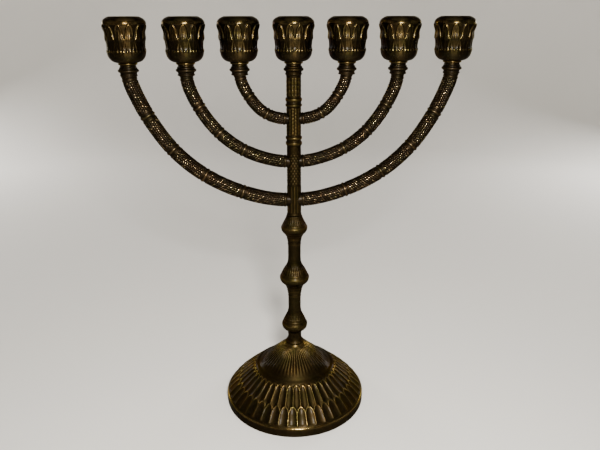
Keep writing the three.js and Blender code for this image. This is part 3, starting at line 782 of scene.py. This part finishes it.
def cup_relief(th, r, z, s):
    per = 360.0 / LEAVES
    a = (np.degrees(th) + per / 2) % per - per / 2     # from a leaf's centre line, in degrees
    mm = 12.7 * math.pi / 180
    x = np.abs(a) * mm
    half = per / 2 * mm
    zz = np.linspace(284, 296, 200)
    Wd = np.interp(z, _WZ, _WX)
    sl = np.interp(z, zz, np.gradient(np.interp(zz, _WZ, _WX), 12 / 199))
    d = (x - Wd) / np.sqrt(1 + sl ** 2)
    rise = smoothstep(283.9, 286.1, z)
    up = rise * (1 - smoothstep(294.4, 295.4, z)) * (r > 10)
    edge = bell(d, 0.27)
    full = np.sqrt(np.clip(1 - (x / np.maximum(Wd, 0.05)) ** 2, 0, 1)) * (d < 0)
    vein = bell(x, 0.22) * (1 - smoothstep(291.0, 293.6, z))
    side_vein = bell(x - Wd * 0.52, 0.15) * (1 - smoothstep(290.0, 292.0, z))
    gap = smoothstep(0.05, 0.7, d)
    puff = 0.48 * (1 - smoothstep(285.6, 291.6, z))
    h_up = 0.38 * edge + (0.12 + puff) * full + 0.20 * vein + 0.16 * side_vein - 0.40 * gap - 0.10
    # under every gap two legs run down and apart; a third short rib stands under the leaf
    leg_x = half - np.clip(284.9 - z, 0, 9) * 0.215
    low = smoothstep(276.2, 280.4, z) * (1 - rise) * (r > 10)
    grow = 1 - smoothstep(278.5, 284.0, z)
    leg = bell(x - leg_x, 0.25 + 0.11 * grow)
    mid = bell(x, 0.25 + 0.09 * grow)
    floor = smoothstep(277.8, 281.5, z)
    h_low = (0.20 + 0.06 * grow) * leg + 0.13 * mid - floor * np.where(x < leg_x, 0.10, 0.24)
    # round bead at every foot
    k = (a / 10.0 + 0.5) % 1.0 - 0.5
    bead = np.sqrt(np.clip(1 - (k * 10.0 * mm / 0.80) ** 2 - ((z - 278.2) / 0.95) ** 2, 0, 1)) * (r > 10)
    c = np.clip(np.cos(2 * math.pi * k), 0, 1)
    tail = c * window(z, 273.4, 276.4, 277.4, 278.6) * (r > 9)
    swell = 0.55 * smoothstep(279.2, 284.6, z) * (1 - smoothstep(285.6, 291.6, z)) * (r > 10)
    h = up * h_up + low * h_low + 0.24 * bead + 0.05 * tail + swell
    w = np.full_like(z, 0.14)
    w = w + up * (0.50 * edge + 0.44 * vein + 0.36 * side_vein - 0.10 * gap - 0.03 * full)
    w = w + low * (0.20 * np.maximum(leg, 0.7 * mid) - 0.06)
    w = np.maximum(w, 0.08 + 0.40 * bead)
    w = np.where((z < 276.5) & (r > 6.9), 0.12 + 0.05 * smoothstep(274.0, 276.5, z), w)
    w = np.maximum(w, 0.50 * bell(z - 269.8, 0.6) * (r < 7.2) * (r > 5))
    w = np.maximum(w, 0.36 * window(z, 294.4, 295.2, 297.4, 299.2) * (r > 9))
    w = np.where((z > 298.8) & (r > 8.5), 0.28, w)
    bore = (r < 8.7) & (z > 277.0)
    w = np.where(bore, 0.18 + 0.10 * smoothstep(292, 300, z), w)
    h = np.where((r < 8.7) & (z > 271), 0, h)
    gloss = 0.30 * up * np.maximum(edge, vein) + 0.50 * bead + 0.45 * window(z, 294.4, 295.4, 299.2, 299.9) * (r > 9)
    return h, np.clip(w, 0, 1), np.clip(gloss, 0, 1)


def make_cup(place_name, x, body, phase_deg):
    foot = spline([(5.6, 267.8), (5.35, 268.4), (5.45, 269.0)], 0.3)
    ring = spline([(5.45, 269.0), (6.2, 269.2), (6.55, 269.7), (6.35, 270.3), (6.1, 270.5)], 0.3)
    bowl = spline([(6.1, 270.5), (7.4, 270.6), (9.2, 271.2), (10.4, 272.0), (11.35, 273.0), (12.1, 274.3), (12.6, 275.9), (12.8, 277.4),
                   (12.62, 279.2), (12.42, 281.0), (12.35, 283.0), (12.42, 285.2), (12.65, 287.4), (12.95, 289.3),
                   (13.4, 291.0), (13.9, 292.3), (14.2, 293.4), (14.3, 294.5), (14.25, 295.8), (13.9, 297.0),
                   (13.2, 297.95), (12.3, 298.7), (11.2, 299.35), (10.1, 299.8), (9.4, 299.95)], 0.30)
    prof = join(
        [(0.0, 274.2), (2.0, 274.2), (2.12, 274.1)],
        [(2.12, 274.1), (2.12, 271.0), (2.12, 267.9), (2.3, 267.7)],
        [(2.3, 267.7), (5.35, 267.7), (5.6, 267.8)],
        foot, ring, bowl,
        spline([(9.4, 299.95), (8.95, 299.9), (8.7, 299.6), (8.6, 299.1)], 0.25),
        spline([(8.6, 299.1), (8.6, 278.0)], 2.4),
        [(8.6, 278.0), (8.45, 277.55), (8.1, 277.4)],
        [(8.1, 277.4), (4.0, 277.4), (0.0, 277.4)],
    )
    ob = turned(f"cup_{place_name}_cast", prof, 288, cup_relief, centre=(x, 0.0), phase=math.radians(phase_deg))
    place(ob, mat_cup, "cup_brass", body, f"cup_{place_name}")


# leaf phase of each cup, from the direction that faces the front
CUPS = [
    ("outer_left", -112.2, "cup_1", -67.0), ("middle_left", -73.6, "cup_2", -86.0),
    ("inner_left", -37.2, "cup_3", -91.5), ("centre", 0.0, "cup_4", -105.3),
    ("inner_right", 37.2, "cup_5", -103.0), ("middle_right", 73.6, "cup_6", -103.8),
    ("outer_right", 112.2, "cup_7", -105.6),
]
for place_name, x, body, ph in CUPS:
    make_cup(place_name, x, body, ph)

# ------------------------------------------------------------------ fasteners


def thread(z0, z1, pitch=0.8, depth=0.22):
    def f(th, r, z, s):
        q = (z / pitch - th / (2 * math.pi)) % 1.0
        tri = 1 - np.abs(2 * q - 1)
        zone = np.zeros_like(z)
        for a, b in z0 if isinstance(z0, list) else [(z0, z1)]:
            zone = np.maximum(zone, window(z, a, a + 0.5, b - 0.5, b))
        zone = zone * (r > 1.5)
        return -depth * (1 - tri) * zone, 0.3 + 0.3 * tri * zone
    return f


def make_rod(name, node, x, r, z0, z1, spans, cols, body):
    def dense(a, b, fine):
        return spline([(r, a), (r, b)], 0.16 if fine else 4.0)
    runs, at = [], z0 + 0.5
    for a, b in spans:
        a, b = max(a, z0 + 0.5), min(b, z1 - 0.5)
        if a > at + 0.1:
            runs.append(dense(at, a, False))
        runs.append(dense(a, b, True))
        at = b
    if at < z1 - 0.6:
        runs.append(dense(at, z1 - 0.5, False))
    prof = join([(0, z0), (r - 0.5, z0), (r, z0 + 0.5)], *runs, [(r, z1 - 0.5), (r - 0.5, z1), (0, z1)])
    ob = turned(name, prof, cols, thread([tuple(s) for s in spans], None), centre=(x, 0.0))
    place(ob, mat_steel, "fastener_steel", body, node)


make_rod("tie_rod_threaded", "tie_rod", 0.0, 2.45, 35.5, 165.6, [(35.5, 47.0), (150.0, 165.6)], 28, "tree")
for place_name, x, _b, _p in CUPS:
    make_rod(f"stud_{place_name}_threaded", f"stud_{place_name}", x, 1.98, 258.0, 273.6, [(258.0, 273.6)], 24, "tree")


def make_washer():
    prof = [(2.85, 42.1), (2.95, 42.0), (6.7, 42.0), (7.0, 42.25), (7.0, 42.95), (6.7, 43.2), (2.95, 43.2), (2.85, 43.1)]
    ob = turned("base_washer_pressed", prof, 64)
    place(ob, mat_steel, "fastener_steel", "base", "base_washer")


make_washer()


def make_nut():
    """Hexagon nut with chamfered corners and a round bore."""
    cols = 96
    th = np.arange(cols) * 2 * math.pi / cols
    af = 4.0
    hexr = af / np.cos((th + math.pi / 6) % (math.pi / 3) - math.pi / 6)
    corner = 4.15
    z0, z1 = 37.7, 41.7
    rows = []
    for r_of, z in ((2.85, z0 + 0.25), (3.05, z0), (np.minimum(hexr, corner) - 0.25, z0), (np.minimum(hexr, corner + 0.12), z0 + 0.18),
                    (hexr, z0 + 0.75), (hexr, z0 + 1.4), (hexr, z1 - 1.4), (hexr, z1 - 0.75), (np.minimum(hexr, corner + 0.12), z1 - 0.18),
                    (np.minimum(hexr, corner) - 0.25, z1), (3.05, z1), (2.85, z1 - 0.25), (2.85, (z0 + z1) / 2)):
        rr = np.broadcast_to(np.asarray(r_of, float), th.shape)
        rows.append(np.stack([rr * np.cos(th), rr * np.sin(th), np.full_like(th, z)], -1))
    V = np.array(rows)
    quads = grid_faces(len(rows), cols, closed_rows=True)
    ob = make_mesh("base_nut_hex", V.reshape(-1, 3), quads, [], np.full(V.shape[0] * cols, 0.4))
    m = ob.modifiers.new("split", "EDGE_SPLIT")
    m.split_angle = math.radians(35)
    dg = bpy.context.evaluated_depsgraph_get()
    me = bpy.data.meshes.new_from_object(ob.evaluated_get(dg))
    ob.modifiers.clear()
    ob.data = me
    place(ob, mat_steel, "fastener_steel", "tree", "base_nut")


make_nut()

# ------------------------------------------------------------------ stage


def matte(name, colour, rough=0.9):
    m = bpy.data.materials.new(name)
    m.use_nodes = True
    N, L = m.node_tree.nodes, m.node_tree.links
    b = N["Principled BSDF"]
    n = N.new("ShaderNodeTexNoise")
    n.inputs["Scale"].default_value = 3.0
    c = ramp(N, [(0.3, tuple(0.97 * v for v in colour)), (0.7, colour)])
    L.new(n.outputs["Fac"], c.inputs["Fac"])
    L.new(c.outputs["Color"], b.inputs["Base Color"])
    b.inputs["Roughness"].default_value = rough
    b.inputs["Specular IOR Level"].default_value = 0.2
    return m


def make_stage():
    """Round pale floor that sweeps up into a wall, the same on every side."""
    pts = [(0.0, 0.0), (0.3, 0.0), (0.7, 0.0), (0.95, 0.0)]
    for k in range(1, 13):
        t = k / 12 * math.pi / 2
        pts.append((0.95 + 0.35 * math.sin(t), 0.35 - 0.35 * math.cos(t)))
    pts += [(1.3, 0.8), (1.3, 1.6), (1.3, 2.4)]
    cols = 96
    verts = [(0.0, 0.0, -0.0002)]
    for r, z in pts[1:]:
        for j in range(cols):
            t = 2 * math.pi * j / cols
            verts.append((r * math.cos(t), r * math.sin(t), z - 0.0002))
    faces = [(0, 1 + j, 1 + (j + 1) % cols) for j in range(cols)]
    for i in range(len(pts) - 2):
        for j in range(cols):
            a, b = 1 + i * cols + j, 1 + i * cols + (j + 1) % cols
            faces.append((a, a + cols, b + cols, b))
    me = bpy.data.meshes.new("studio_floor")
    me.from_pydata(verts, [], faces)
    for p in me.polygons:
        p.use_smooth = True
    ob = bpy.data.objects.new("studio_floor", me)
    bpy.context.scene.collection.objects.link(ob)
    me.materials.append(matte("studio_floor_paint", (0.70, 0.68, 0.64)))


make_stage()


def area(name, loc, target, size, energy, colour=(1, 1, 1), shape="DISK"):
    d = bpy.data.lights.new(name, "AREA")
    d.shape = shape
    d.size = size
    d.energy = energy
    d.color = colour
    o = bpy.data.objects.new(name, d)
    o.location = loc
    o.rotation_euler = (Vector(target) - Vector(loc)).to_track_quat("-Z", "Y").to_euler()
    bpy.context.scene.collection.objects.link(o)
    return o


key_at = CAM + RIGHT * 0.05 + UP * 0.075 - FWD * 0.05
area("key", key_at, (0, 0, 0.19), 0.08, 7.4, (1.0, 0.97, 0.91))
area("soft_top", (0.0, 0.0, 1.55), (0, 0, 0), 1.3, 4.6, (1.0, 0.99, 0.97))
area("fill_left", (-1.0, -0.35, 0.75), (0, 0, 0.2), 0.6, 0.4, (0.95, 0.98, 1.0))
area("fill_right", (1.0, -0.35, 0.75), (0, 0, 0.2), 0.6, 0.4, (1.0, 0.98, 0.95))
area("back_left", (-0.80, 0.86, 0.32), (0, 0, 0.16), 0.3, 6.0, (1.0, 0.98, 0.96))
area("back_right", (0.86, 0.66, 0.32), (0, 0, 0.16), 0.3, 6.0, (1.0, 0.98, 0.96))

world = bpy.data.worlds.new("studio_world")
bpy.context.scene.world = world
world.use_nodes = True
world.node_tree.nodes["Background"].inputs[0].default_value = (0.80, 0.82, 0.85, 1)
world.node_tree.nodes["Background"].inputs[1].default_value = 0.05
